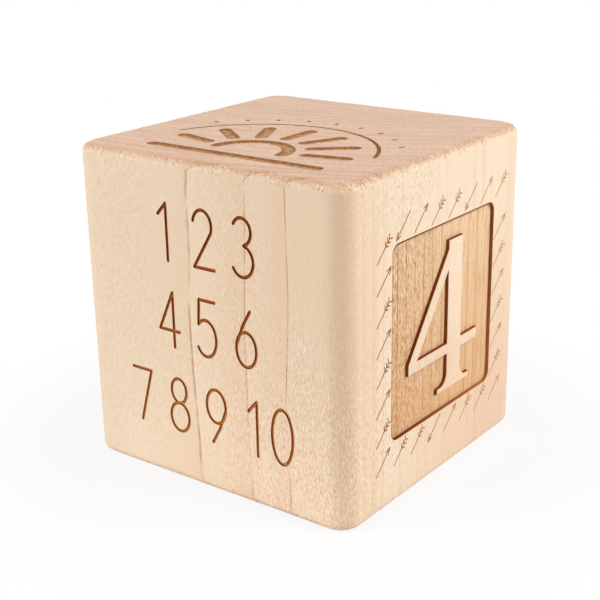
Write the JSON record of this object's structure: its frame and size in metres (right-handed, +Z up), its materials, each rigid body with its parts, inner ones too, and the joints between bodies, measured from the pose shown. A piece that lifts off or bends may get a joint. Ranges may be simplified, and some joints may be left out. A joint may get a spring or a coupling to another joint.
{
  "type": "wooden keepsake block",
  "caption": "Solid maple toy cube with rounded edges and a lowered panel round a raised numeral on one side; stands, stacks and is held as a keepsake.",
  "frame": {"origin": "middle of the underside, the end-grain face that the block rests on", "axes": "+Z up along the grain, -Y the front face, +X the side with the lowered panel"},
  "size_m": [0.0636, 0.0624, 0.0645],
  "materials": {
    "maple": "sanded, bare or thinly oiled",
    "numeral": "sanded face, scorched sides"
  },
  "bodies": {
    "root": {"maple_block": "maple", "raised_numeral": "numeral"}
  },
  "joints": []
}
